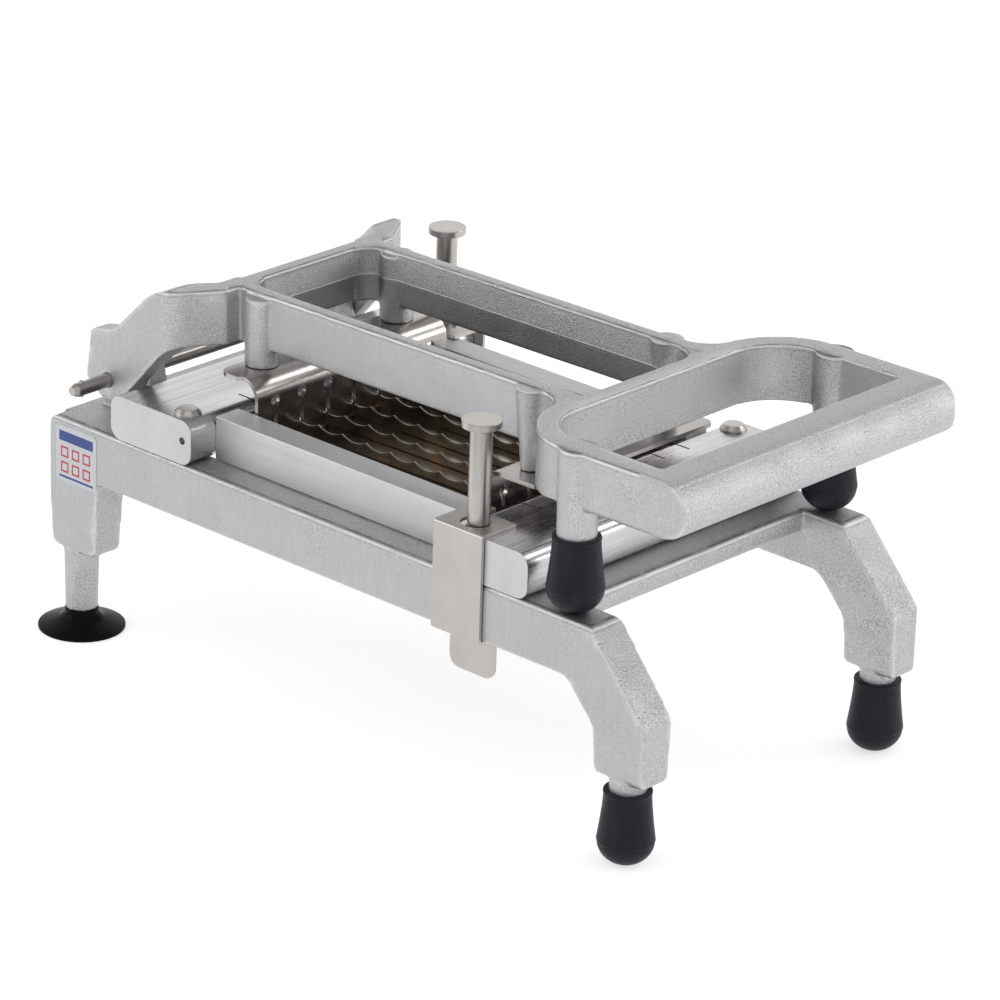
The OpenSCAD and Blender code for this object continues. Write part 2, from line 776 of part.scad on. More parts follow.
module hold_down() {
    y_in = half_w + touch_gap;
    y_out = y_in + clip_t;
    z_top = block_top;
    z_low = rail_low - touch_gap;
    y_tab = y_out - clip_under;
    x0 = pin_front_x - clip_shift - clip_w / 2;
    x1 = x0 + clip_w;
    hole_x = pin_front_x - (clip_hole_d - pin_d) / 2 + 2 * touch_gap;
    difference() {
        prism_x(concat(
            rounded([
                [-y_out + clip_reach, z_top + clip_t, 0],
                [-y_out, z_top + clip_t, 1.2 * clip_t],
                [-y_out, z_low - clip_t, 1.2 * clip_t],
                [-y_tab, z_low - clip_t, 0]], 4),
            rounded([
                [-y_tab, z_low, 0],
                [-y_in, z_low, 0.2 * clip_t],
                [-y_in, z_top, 0.2 * clip_t],
                [-y_out + clip_reach, z_top, 0]], 4)), x0, x1);
        rod_z(clip_hole_d, hole_x, -rail_y, z_top - overlap, z_top + clip_t + overlap);
    }
    prism_y(rounded([
        [x0 + tab_set, z_low, 0],
        [x0 + tab_set, z_low - tab_h, tab_r],
        [x1, z_low - tab_h, tab_r],
        [x1, z_low, 0]]), -y_tab - clip_t, -y_tab);
}

// The far corner holds the same part, turned half round about the middle of the cartridge
module opposite_corner() {
    translate([pin_front_x + pin_rear_x, 0, 0]) rotate([0, 0, 180]) children();
}

module hold_down_near() {
    color("#b5b1a9") hold_down();
}

module hold_down_far() {
    color("#b5b1a9") opposite_corner() hold_down();
}

module lock_pin() {
    z0 = rail_low + pin_lift;
    edge = 1.2;
    translate([pin_front_x, -rail_y, z0]) rotate_extrude() polygon(rounded([
        [0, 0, 0],
        [pin_d / 2, 0, edge],
        [pin_d / 2, pin_l, 0],
        [pin_head_d / 2, pin_l, 0.5],
        [pin_head_d / 2, pin_l + pin_head_t, 0.5],
        [0, pin_l + pin_head_t, 0]], 4));
}

module lock_pin_near() {
    color("#b9b5ad") lock_pin();
}

module lock_pin_far() {
    color("#b9b5ad") opposite_corner() lock_pin();
}

// Lever

function rail_profile() =
    let (y1 = frame_w / 2, y0 = y1 - lever_rail_t, mid = lever_top - lever_h / 2, r = 2)
    rounded([
        [y0 + lever_draft, lever_top, r],
        [y0, mid, 0],
        [y0 + lever_draft, lever_low, r],
        [y1 - lever_draft / 4, lever_low, r],
        [y1, mid, 0],
        [y1 - lever_draft / 4, lever_top, r]], 4);

module lever_rails() {
    prism_x(rail_profile(), pivot_x + cross_fwd + cross_t / 2, loop_x0 + loop_t / 2);
}

module rear_cross_member() {
    x0 = pivot_x + cross_fwd;
    x1 = x0 + cross_t;
    mid = lever_top - lever_h / 2;
    prism_y(rounded([
        [x0 + lever_draft, lever_top, 2],
        [x1 - lever_draft, lever_top, 2],
        [x1, mid, 0],
        [x1 - lever_draft, lever_low, 2],
        [x0 + lever_draft, lever_low, 2],
        [x0, mid, 0]], 4), -frame_w / 2, frame_w / 2);
}

// Side view of a hinge arm: a hump falls from the frame's top to a notch and a heel
function arm_side() =
    let (x = pivot_x, z = pivot_z, top_x = pivot_x + cross_fwd + cross_t)
    rounded([
        [top_x, lever_top, 0],
        [x + hump_fwd, lever_top, hump_r],
        [x + 5.5, z + heel_up + 3.5, 11],
        [x - 4, z + heel_up + 2, 6],
        [x - heel_back + 4, z + heel_up, 5],
        [x - heel_back, z - 2, 3],
        [x - 6, z - arm_low + 3, 8],
        [x + 2, z - arm_low, 4],
        [x + 9.5, z - arm_low + 2, 6],
        [x + arm_root, lever_low, 18],
        [top_x, lever_low, 0]]);

// Top view of a hinge arm: it leaves the frame's corner, flares out and runs straight back
function arm_plan() =
    let (x = pivot_x, side = frame_w / 2, x1 = pivot_x + cross_fwd + cross_t + 8)
    rounded([
        [x1, side - lever_rail_t, 0],
        [x1, side - 2, 2],
        [x + 62, side + 16, 12],
        [x + 47, arm_out_y, 20],
        [x - heel_back - 5, arm_out_y, 0],
        [x - heel_back - 5, arm_in_y, 0],
        [x + 34, arm_in_y, 14],
        [x + cross_fwd, side + 4, 8],
        [x + cross_fwd, side - lever_rail_t, 0]]);

module hinge_arm() {
    intersection() {
        prism_y(arm_side(), 0, arm_out_y + overlap);
        translate([0, 0, pivot_z - 2 * arm_low]) linear_extrude(lever_up + 3 * arm_low) polygon(arm_plan());
        prism_x(rounded([
            [0, lever_top, 0],
            [arm_out_y, lever_top, 7],
            [arm_out_y, pivot_z - 2 * arm_low, 0],
            [0, pivot_z - 2 * arm_low, 0]]), pivot_x - 2 * heel_back, loop_x0);
    }
}

// Side view of the handle loop: straight sides that end in the round grip
function loop_side() =
    let (r = 0.47 * lever_h)
    rounded([
        [loop_x0, lever_low, 2],
        [grip_x1 - 0.7 * grip_l, lever_low, 20],
        [grip_x1, lever_low + 5.5, r - 2],
        [grip_x1, lever_top, r],
        [loop_x0, lever_top, 2]], 8);

module handle_loop() {
    w = loop_w / 2;
    w_in = w - loop_side_t;
    x_in = loop_x0 + loop_t;
    difference() {
        intersection() {
            prism_y(loop_side(), -w, w);
            translate([0, 0, lever_low]) linear_extrude(lever_h) polygon(rounded([
                [loop_x0, -w, loop_r],
                [grip_x1, -w, grip_r],
                [grip_x1, w, grip_r],
                [loop_x0, w, loop_r]], 12));
            prism_x(rounded([
                [-w, lever_low, 5],
                [w, lever_low, 5],
                [w, lever_top, 2],
                [-w, lever_top, 2]]), loop_x0 - overlap, grip_x1 + overlap);
        }
        translate([0, 0, lever_low - overlap]) linear_extrude(lever_h + 2 * overlap) polygon(rounded([
            [x_in, -w_in, loop_r - loop_side_t],
            [grip_x1 - grip_l, -w_in, 1.5],
            [grip_x1 - grip_l, w_in, 1.5],
            [x_in, w_in, loop_r - loop_side_t]], 12));
    }
}

// A web that rounds an inner corner at p, towards the signs in s
module web(p, s, r) {
    steps = 6;
    translate([0, 0, lever_low + 0.3]) linear_extrude(lever_h - 0.6) polygon(concat(
        [[p.x - 4 * s.x, p.y - s.y], [p.x + s.x * r, p.y - s.y]],
        [for (i = [0:steps]) let (a = 90 * i / steps) p + r * [s.x * (1 - sin(a)), s.y * (1 - cos(a))]],
        [[p.x - 4 * s.x, p.y + s.y * r]]));
}

module lever_webs() {
    inner_y = frame_w / 2 - lever_rail_t;
    web([loop_x0, inner_y], [-1, -1], 0.7 * web_r);
    web([loop_x0, frame_w / 2], [-1, 1], web_r);
    web([pivot_x + cross_fwd + cross_t, inner_y], [1, -1], web_r / 2);
}

module lever_posts() {
    rod_z(rear_post_d, pivot_x + rear_post_fwd, post_y, rear_post_low, lever_top - 3);
    translate([pivot_x + front_post_fwd, post_y, front_post_low])
        cylinder(d1 = front_post_d, d2 = front_post_d + 7, h = lever_top - 1 - front_post_low);
    rod_z(bumper_post_d, pivot_x + bumper_fwd, rail_y, bumper_z + tip_h, lever_top - 0.6);
    rod_z(stub_d, pivot_x + bumper_fwd, rail_y, bumper_z + tip_floor, lever_low);
}

module lever_casting() {
    color("#bcbec0") at_rest() difference() {
        union() {
            both_sides() {
                lever_rails();
                hinge_arm();
                lever_posts();
                lever_webs();
            }
            rear_cross_member();
            handle_loop();
        }
        rod_y(hinge_d + 2 * run_fit, pivot_x, pivot_z, -half_w, half_w);
        both_sides() {
            rod_z(screw_d, pivot_x + rear_post_fwd, post_y, rear_post_low - overlap,
                rear_post_low + screw_sunk);
            rod_z(screw_d, pivot_x + front_post_fwd, post_y, front_post_low - overlap,
                front_post_low + screw_sunk);
        }
    }
}

module bumper_near() {
    color("#232a33") at_rest() translate([pivot_x + bumper_fwd, -rail_y, bumper_z]) rubber_tip();
}

module bumper_far() {
    color("#232a33") at_rest() translate([pivot_x + bumper_fwd, rail_y, bumper_z]) rubber_tip();
}

// Pusher

// Side view of the folded sheet: rear flange, rear wall, bottom, front wall and front flange
function sheet_side() =
    let (x0 = trough_x0, x1 = trough_x1, t = sheet_t, zr = rear_post_low, zf = front_post_low)
    rounded([
        [x0 - rear_flange_l, zr, 0],
        [x0 + t, zr, rear_bend_r],
        [x0 + t, trough_z + t, bend_r - t],
        [x1 - t, trough_z + t, bend_r - t],
        [x1 - t, zf, bend_r],
        [x1 + front_flange_l, zf, 0],
        [x1 + front_flange_l, zf - t, 0],
        [x1, zf - t, bend_r - t],
        [x1, trough_z, bend_r],
        [x0, trough_z, bend_r],
        [x0, zr - t, rear_bend_r - t],
        [x0 - rear_flange_l, zr - t, 0]]);

// Top view of the sheet: wide rear tabs with round corners, a narrower trough and the front flange
function sheet_plan() =
    let (tab_x = trough_x0 - rear_flange_l, tab_l = rear_flange_l - rear_bend_r,
         a = rear_flange_w / 2, b = trough_w / 2, c = front_flange_w / 2,
         wall_x = trough_x1 + overlap, end_x = trough_x1 + front_flange_l)
    rounded([
        [tab_x, -a, 8],
        [tab_x + tab_l, -a, 3],
        [tab_x + tab_l + 2, -b, 2],
        [wall_x, -b, 0],
        [wall_x, -c, 0],
        [end_x, -c, 5],
        [end_x, c, 5],
        [wall_x, c, 0],
        [wall_x, b, 0],
        [tab_x + tab_l + 2, b, 2],
        [tab_x + tab_l, a, 3],
        [tab_x, a, 8]]);

module sheet_hole(fwd, z) {
    rod_z(screw_d + 2 * loose_fit, pivot_x + fwd, post_y, z - 2 * sheet_t, z + overlap);
}

module pusher() {
    color("#aeaaa3") at_rest() difference() {
        intersection() {
            prism_y(sheet_side(), -rear_flange_w, rear_flange_w);
            translate([0, 0, trough_z - overlap]) linear_extrude(rear_post_low - trough_z + 2 * overlap)
                polygon(sheet_plan());
        }
        for (i = [1:blade_n]) {
            rear_z = rear_post_low - keyhole_down;
            front_z = front_post_low - keyhole_down;
            prism_y([
                [trough_x0 - overlap, trough_z - overlap],
                [trough_x1 + overlap, trough_z - overlap],
                [trough_x1 + overlap, front_z],
                [trough_x0 - overlap, rear_z]], blade_y(i) - slot_w / 2, blade_y(i) + slot_w / 2);
            rod_x(keyhole_d, blade_y(i), rear_z, trough_x0 - overlap, trough_x0 + sheet_t + overlap);
            rod_x(keyhole_d, blade_y(i), front_z, trough_x1 - sheet_t - overlap, trough_x1 + overlap);
        }
        both_sides() {
            sheet_hole(rear_post_fwd, rear_post_low);
            sheet_hole(front_post_fwd, front_post_low);
        }
    }
}

// A hex-headed screw with a washer face, driven up through the sheet into a post
module pusher_screw(fwd, post_low) {
    head_h = 0.65 * screw_d;
    washer_t = 1;
    x = pivot_x + fwd;
    under = post_low - sheet_t;
    rod_z(screw_d, x, post_y, under - washer_t - head_h / 2, post_low + screw_sunk);
    rod_z(2 * screw_d, x, post_y, under - washer_t, under);
    translate([x, post_y, under - washer_t - head_h]) cylinder(d = 1.8 * screw_d, h = head_h, $fn = 6);
}

module rear_screws() {
    color("#b9b5ad") at_rest() both_sides() pusher_screw(rear_post_fwd, rear_post_low);
}

module front_screws() {
    color("#b9b5ad") at_rest() both_sides() pusher_screw(front_post_fwd, front_post_low);
}

// Hinge pin

module hinge_pin() {
    y1 = arm_out_y + 2 * touch_gap;
    tip_l = 0.45 * hinge_d;
    color("#a6a39d") difference() {
        union() {
            translate([pivot_x, hinge_tip_y, pivot_z]) rotate([-90, 0, 0])
                cylinder(d1 = 0.62 * hinge_d, d2 = hinge_d, h = tip_l);
            rod_y(hinge_d, pivot_x, pivot_z, hinge_tip_y + tip_l, y1 + overlap);
            rod_y(hinge_head_d, pivot_x, pivot_z, y1, y1 + hinge_head_t);
        }
        rod_z(ball_d + 2 * run_fit, pivot_x, ball_y, pivot_z - hinge_d, pivot_z + hinge_d);
    }
}

module detent_balls() {
    out = 1.1;
    color("#c9c8c5") for (s = [-1, 1])
        translate([pivot_x, ball_y, pivot_z + s * (hinge_d / 2 + out - ball_d / 2)]) sphere(d = ball_d);
}

base_casting();
suction_cup_near();
suction_cup_far();
cup_studs();
foot_near();
foot_far();
side_label();
dowel_near();
dowel_far();
rear_block();
front_block();
side_bar_near();
side_bar_far();
tie_screws();
blade_1();
blade_2();
blade_3();
blade_4();
blade_5();
blade_6();
blade_7();
blade_rod_rear();
blade_rod_front();
hold_down_near();
hold_down_far();
lock_pin_near();
lock_pin_far();
lever_casting();
bumper_near();
bumper_far();
pusher();
rear_screws();
front_screws();
hinge_pin();
detent_balls();
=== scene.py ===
"""Finishes for a hand-operated chicken slicer: softened castings, brushed bar stock, stainless
fittings, ground blades and moulded rubber, set on a plain white floor."""
import json
import math
from typing import NamedTuple

import bmesh
import bpy
import numpy
from mathutils import Matrix, Vector


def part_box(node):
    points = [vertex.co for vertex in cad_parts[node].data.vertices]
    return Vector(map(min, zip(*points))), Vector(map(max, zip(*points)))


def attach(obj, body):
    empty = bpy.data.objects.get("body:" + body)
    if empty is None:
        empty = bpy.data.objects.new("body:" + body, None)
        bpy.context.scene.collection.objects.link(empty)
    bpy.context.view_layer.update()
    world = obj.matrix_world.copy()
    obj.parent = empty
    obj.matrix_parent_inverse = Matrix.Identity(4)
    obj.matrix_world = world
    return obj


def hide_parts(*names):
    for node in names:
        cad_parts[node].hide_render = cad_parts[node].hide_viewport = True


bl_info = {
    "name": "Chicken Slicer Finishes",
    "version": (1, 0, 0),
    "blender": (4, 5, 0),
    "location": "View3D > Sidebar > Slicer",
    "description": "Gives the slicer's solids their castings, brushed metal, blades and rubber",
    "category": "Object",
}

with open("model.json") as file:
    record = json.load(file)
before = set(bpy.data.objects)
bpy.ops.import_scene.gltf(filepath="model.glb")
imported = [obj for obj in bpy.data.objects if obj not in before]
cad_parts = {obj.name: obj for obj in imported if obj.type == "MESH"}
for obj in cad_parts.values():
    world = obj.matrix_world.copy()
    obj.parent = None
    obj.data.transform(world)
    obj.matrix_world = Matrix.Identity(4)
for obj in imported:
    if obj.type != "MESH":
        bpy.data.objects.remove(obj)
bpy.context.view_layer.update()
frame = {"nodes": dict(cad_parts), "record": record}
NODES = frame["nodes"]
RECORD = frame["record"]
BODY_OF = {node: body for body, names in RECORD["behaviour"]["bodies"].items() for node in names}
BLADES = ["blade_%d" % i for i in range(1, 8)]

# Further than any part of the slicer, in metres
FAR = 1.0
# Vertices closer than this are one, and faces that meet within the flat angle are one face
MERGE_GAP = 1e-6
FLAT_ANGLE = math.radians(0.5)
# Faces that meet at more than this have a sharp edge between them
SHARP_ANGLE = math.radians(32)
# How squarely a face looks outward where the belt starts to touch it, and where it is fully smooth
BELT_START, BELT_FULL = 0.90, 0.98

FLOOR_HALF = 30.0
CAMERA_SENSOR = 36.0
CAMERA_REACH = (0.1, 100.0)
LAMP_TARGET = (0.0, 0.0, 0.1)
# Each lamp's name, its place, its width and height, and its power in watts
LAMPS = (
    ("left_light", (-1.6, -1.6, 1.3), (1.2, 0.7), 8),
    ("right_light", (1.9, 1.8, 0.8), (1.2, 0.7), 10),
    ("back_light", (0.8, 1.7, 1.7), (0.8, 0.5), 5),
    ("rear_card", (-1.7, 1.85, 1.05), (2.6, 1.2), 3),
    ("top_light", (0.5, -0.7, 2.5), (2.0, 2.0), 8),
)


class Mark(NamedTuple):
    """A mark in a finish. It lies where its pattern runs from low to high, takes a share of the
    colour there, and its shade multiplies the finish's own colour."""
    low: float
    high: float
    share: float
    shade: float


# Marks on the castings; the patterns of the last five are distances in metres
SPARKLE = Mark(0.53, 0.62, 0.75, 1.5)
PITS = Mark(0.47, 0.37, 0.75, 0.48)
BELT_LINES = Mark(0.46, 0.66, 0.26, 0.80)
# Painted shade: darkens the hollows, where shade falls
HOLLOW_SHADE = Mark(0.49, 0.44, 0.5, 0.5)
# Worn edges, brightened further as a painted highlight
WORN_EDGE_HIGHLIGHT = Mark(0.51, 0.56, 0.7, 1.5)
# A painted highlight line on the rim's rounded edge, and a painted shade line above it
RIM_HIGHLIGHT = Mark(0.0008, 0.0003, 0.85, 1.65)
RIM_SHADE = Mark(0.00035, 0.0001, 0.85, 0.30)
# Painted shadow: the dark trim line stands for the shadow of a small step below the rim
TRIM_SHADOW = Mark(0.0005, 0.0, 0.45, 0.45)
# Painted shade: darkens the draft below the parting line, which faces down
UNDER_PARTING_SHADE = Mark(0.0, 0.0015, 0.55, 0.5)
# The parting flash, brightened with a painted highlight along its ridge
FLASH_HIGHLIGHT = Mark(0.0007, 0.0002, 0.4, 1.5)
# Painted light: the lighter shade given to casting faces that the belt has missed
UNSANDED_PAINTED_LIGHT = 1.16

# Marks on the bar stock
STREAKS = Mark(0.50, 0.70, 0.5, 0.80)
DRAG_DARK = Mark(0.54, 0.70, 0.7, 0.68)
DRAG_LIGHT = Mark(0.44, 0.32, 0.6, 1.28)
GRIT = Mark(0.40, 0.62, 0.22, 0.86)
BAR_CORNERS = Mark(0.52, 0.60, 0.4, 1.3)

# Marks on the stainless fittings
BRUSH_DARK = Mark(0.48, 0.72, 1.0, 0.74)
BRUSH_LIGHT = Mark(0.46, 0.30, 1.0, 1.2)
# Painted reflection: dark bands down the flanks stand for dark surroundings reflected
REFLECTION_BANDS = Mark(0.44, 0.60, 1.0, 0.55)
RINGS = Mark(0.5, 0.74, 0.15, 0.78)
DRAWN_LINES = Mark(0.5, 0.70, 0.18, 0.74)

# Marks on the blades; the pattern of the second is a depth in metres
BLADE_LINES = Mark(0.5, 0.72, 0.4, 0.5)
GROUND_STRIP = Mark(0.0016, 0.0013, 0.25, 2.4)
# Where a blade's honed edge begins and where it is at its palest, in metres from the edge
HONED = (0.00036, 0.0001)
RUST_TINT = (1.9, 1.45, 0.95)

# The label's layout, each as a start and an end in shares of its width or height
LABEL_WIDTH = (0.08, 0.92)
LABEL_BAND = (0.72, 0.90)
LABEL_RULE = (0.06, 0.10)
BOXES_ACROSS, BOXES_UP = (0.10, 0.91), (0.13, 0.68)
BOX_PITCH_ACROSS, BOX_PITCH_UP = 0.27, 0.275
# A tick box's outside and inside, in shares of its pitch
BOX_OUTSIDE = ((0.08, 0.78), (0.10, 0.80))
BOX_INSIDE = ((0.20, 0.66), (0.22, 0.68))


# Properties

def colour(name, text, default):
    return bpy.props.FloatVectorProperty(
        name=name, description=text, subtype="COLOR", size=3, min=0, max=1, default=default)


def length(name, text, default):
    return bpy.props.FloatProperty(name=name, description=text, unit="LENGTH", min=0, default=default)


def share(name, text, default):
    return bpy.props.FloatProperty(
        name=name, description=text, subtype="FACTOR", min=0, max=1, default=default)


def angle(name, text, degrees):
    return bpy.props.FloatProperty(
        name=name, description=text, subtype="ANGLE", default=math.radians(degrees))


def count(name, text, default):
    return bpy.props.IntProperty(name=name, description=text, min=0, default=default)


class SLICER_PG_forms(bpy.types.PropertyGroup):
    casting_cell: length("Casting cell", "Size of the mesh cells that soften the castings", 0.0009)
    casting_merge: share("Casting merge", "How far cells on the castings' flats are merged", 0.005)
    casting_ease: share("Casting ease", "How far each pass smooths the castings", 0.5)
    casting_passes: count("Casting passes", "Smoothing passes over the castings", 2)
    broken_edge: length("Broken edge", "Width of the broken edges on the machined pieces", 0.0004)
    sheet_edge: length("Sheet edge", "Width of the broken edges on the sheet metal", 0.00025)
    tip_lip: length("Tip lip", "Thickness of the lip round a rubber tip's mouth", 0.0006)
    edge_steps: count("Edge steps", "Faces across a broken edge", 2)
    # The dark line and the bright line below a casting's rim are painted shade and a painted highlight
    shade_drop: length("Dark drop", "Depth of the dark line below a casting's rim", 0.0004)
    highlight_drop: length("Light drop", "Depth of the bright line below a casting's rim", 0.0015)
    # The trim line is the painted shadow of a small step
    trim_drop: length("Trim drop", "Depth of the trim line below a casting's rim", 0.0029)
    trim_stop: length("Trim stop", "From the lever's front to the end of its trim line", 0.032)
    parting_drop: length("Parting drop", "Depth of the lever's parting line below its rim", 0.0165)
    frame_front: length("Frame front", "From the lever's front to the front of its frame", 0.122)
    frame_half: length("Frame half", "From the lever's middle to the middle of a rail", 0.05)
    lever_lean: angle("Lever lean", "Slope of the lever's rim along the slicer", 0.87)
    scallop_first: length("First scallop", "From the rear end block to a blade's first point", 0.009)
    scallop_pitch: length("Scallop pitch", "From point to point along a blade", 0.0185)
    scallop_deep: length("Scallop depth", "Depth of a blade's scallops", 0.0026)
    blade_height: length("Blade height", "From a blade's lower edge to its points", 0.0125)


class SLICER_PG_finishes(bpy.types.PropertyGroup):
    casting: colour("Casting", "Colour of the tumbled aluminium castings", (0.50, 0.50, 0.51))
    bar: colour("Bar stock", "Colour of the machined aluminium", (0.565, 0.565, 0.575))
    stainless: colour("Stainless", "Colour of the pins, hold-downs and screws", (0.52, 0.495, 0.47))
    sheet: colour("Pusher sheet", "Colour of the pusher's sheet", (0.42, 0.40, 0.38))
    # Painted shade: the blades' colour is darkened for the shade they stand in
    blade: colour("Blade", "Colour of the blades", (0.108, 0.085, 0.060))
    blade_edge: colour("Blade edge", "Colour of the blades' ground edges", (0.50, 0.48, 0.45))
    rubber: colour("Rubber", "Colour of the rubber tips", (0.0095, 0.0115, 0.017))
    cup: colour("Suction cup", "Colour of the suction cups", (0.0025, 0.0025, 0.003))
    label_ground: colour("Label ground", "Ground colour of the label", (0.80, 0.82, 0.86))
    label_band: colour("Label band", "Colour of the label's bands", (0.05, 0.09, 0.33))
    label_mark: colour("Label marks", "Colour of the label's boxes", (0.62, 0.06, 0.07))
    # Painted light: how far the faces that the belt has missed are lightened
    stand_painted_lift: share("Stand lift", "How far the belt's missed faces are lightened on the stand", 0.3)
    lever_painted_lift: share("Lever lift", "How far the belt's missed faces are lightened on the lever", 0.7)
    block_marks: share("Block marks", "Strength of the streaks on the end blocks", 0.5)
    side_marks: share("Side marks", "Strength of the streaks on the side bars", 0.25)
    # Painted reflection: strengths of the dark reflected bands painted down the pins
    pin_reflections: share("Pin bands", "Strength of the dark bands down the turned pieces", 0.6)
    far_pin_reflections: share("Far bands", "Strength of the dark bands down the far lock pin", 0.15)
    casting_rough: share("Casting roughness", "Roughness of the castings", 0.40)
    bar_rough: share("Bar roughness", "Roughness of the end blocks", 0.20)
    side_dull: share("Side dullness", "How much rougher the side bars are than the end blocks", 0.24)
    stainless_rough: share("Stainless roughness", "Roughness of the stainless fittings", 0.26)
    tip_rough: share("Tip roughness", "Roughness of the rubber tips", 0.44)
    cup_rough: share("Cup roughness", "Roughness of the suction cups", 0.30)
    tip_gloss: share("Tip gloss", "Specular level of the rubber tips", 0.2)
    cup_gloss: share("Cup gloss", "Specular level of the suction cups", 0.07)
    label_rough: share("Label roughness", "Roughness of the label's film", 0.42)


class SLICER_PG_stage(bpy.types.PropertyGroup):
    azimuth: angle("Azimuth", "Camera's bearing round the slicer", 42.31)
    elevation: angle("Elevation", "Camera's height above the horizon", 22.34)
    roll: angle("Roll", "Camera's turn about its own axis", 1.91)
    distance: length("Distance", "Distance from the camera to its target", 2.875)
    target: bpy.props.FloatVectorProperty(
        name="Target", description="Point that the camera looks at", subtype="XYZ", unit="LENGTH",
        size=3, default=(0.01008, 0.00309, 0.11602))
    lens: bpy.props.FloatProperty(
        name="Lens", description="Focal length on a 36 mm sensor", unit="CAMERA", default=187.9)
    floor: colour("Floor", "Colour of the floor", (0.64, 0.64, 0.64))
    floor_white: share("Floor white", "White that the floor shows besides its light", 0.64)
    horizon: share("Horizon", "Strength of the surroundings near the floor", 1.0)
    sky: share("Sky", "Strength of the surroundings overhead", 0.35)
    sky_start: share("Sky start", "Height where the surroundings begin to dim", 0.52)
    sky_full: share("Sky full", "Height where the surroundings are dimmest", 0.88)


def forms():
    return bpy.context.scene.slicer_forms


def finishes():
    return bpy.context.scene.slicer_finishes


# Materials

class Value:
    """An output socket; arithmetic on it adds Math nodes."""

    def __init__(self, nodes, socket):
        self.nodes = nodes
        self.socket = socket

    def math(self, operation, *values, first=None):
        values = (self, *values) if first is None else (first, self, *values)
        return self.nodes.node("ShaderNodeMath", {"operation": operation}, dict(enumerate(values)))

    def __add__(self, other):
        return self.math("ADD", other)

    def __sub__(self, other):
        return self.math("SUBTRACT", other)

    def __rsub__(self, other):
        return self.math("SUBTRACT", first=other)

    def __mul__(self, other):
        return self.math("MULTIPLY", other)

    def __truediv__(self, other):
        return self.math("DIVIDE", other)

    def __gt__(self, other):
        return self.math("GREATER_THAN", other)

    def __lt__(self, other):
        return self.math("LESS_THAN", other)

    def __abs__(self):
        return self.math("ABSOLUTE")

    __radd__ = __add__


class Nodes:
    """A node tree, and the one way to add to it."""

    def __init__(self, tree):
        self.tree = tree
        self.tree.nodes.clear()

    def node(self, kind, settings=None, sockets=None, out=0):
        """Adds a node, sets it, then fills or links its sockets; returns one of its outputs."""
        made = self.tree.nodes.new(kind)
        for key, value in (settings or {}).items():
            setattr(made, key, value)
        for key, value in (sockets or {}).items():
            if isinstance(value, Value):
                self.tree.links.new(value.socket, made.inputs[key])
            else:
                made.inputs[key].default_value = value
        return Value(self, made.outputs[out]) if made.outputs else None

    def xyz(self, vector):
        return [self.node("ShaderNodeSeparateXYZ", None, {0: vector}, axis) for axis in range(3)]


class Finish(Nodes):
    """A material, with the patterns and marks that make its colour."""

    def __init__(self, name):
        self.material = bpy.data.materials.new(name)
        self.material.use_nodes = True
        super().__init__(self.material.node_tree)
        self.place = self.node("ShaderNodeTexCoord", out="Object")

    def noise(self, scale, detail=2.0, place=None, rough=0.5):
        return self.node(
            "ShaderNodeTexNoise", None,
            {"Vector": place or self.place, "Scale": scale, "Detail": detail, "Roughness": rough})

    def lines(self, scales, detail=3.0, rough=0.5):
        """A noise that is stretched along the axes with small scales."""
        place = self.node("ShaderNodeMapping", None, {"Vector": self.place, "Scale": scales})
        return self.noise(1.0, detail, place, rough)

    def span(self, value, low, high, to_low=0.0, to_high=1.0):
        return self.node(
            "ShaderNodeMapRange", {"clamp": True},
            {"Value": value, "From Min": low, "From Max": high, "To Min": to_low, "To Max": to_high})

    def extent(self, pattern, mark):
        """Where a mark lies."""
        return self.span(pattern, mark.low, mark.high)

    def mix(self, share, a, b):
        def whole(c):
            return c if isinstance(c, Value) else (*c, 1)
        return self.node(
            "ShaderNodeMix", {"data_type": "RGBA", "clamp_factor": True},
            {0: share, 6: whole(a), 7: whole(b)}, out=2)

    def clouded(self, shade, pattern, low, high, dark, light):
        """A colour that drifts between a dark and a light shade of itself."""
        return self.mix(self.span(pattern, low, high), scaled(shade, dark), scaled(shade, light))

    def marked(self, tone, shade, *layers):
        """Lays marks over a colour in order; a layer is a pattern, its mask and its mark."""
        for pattern, mask, mark in layers:
            where = self.extent(pattern, mark) * mask * mark.share
            tone = self.mix(where, tone, scaled(shade, mark.shade))
        return tone

    def bump(self, height, distance, strength, normal=None):
        sockets = {"Height": height, "Distance": distance, "Strength": strength}
        if normal is not None:
            sockets["Normal"] = normal
        return self.node("ShaderNodeBump", None, sockets)

    def surface(self, **sockets):
        shader = self.node(
            "ShaderNodeBsdfPrincipled", None, {k.replace("_", " "): v for k, v in sockets.items()})
        self.node("ShaderNodeOutputMaterial", None, {"Surface": shader})
        return self.material


def scaled(shade, by):
    return tuple(min(1.0, c * by) for c in shade)


def stretched(axis, across, along):
    """Scales that stretch a noise along one axis."""
    scales = [across] * 3
    scales[axis] = along
    return scales


def within(value, span):
    return (value > span[0]) * (value < span[1])


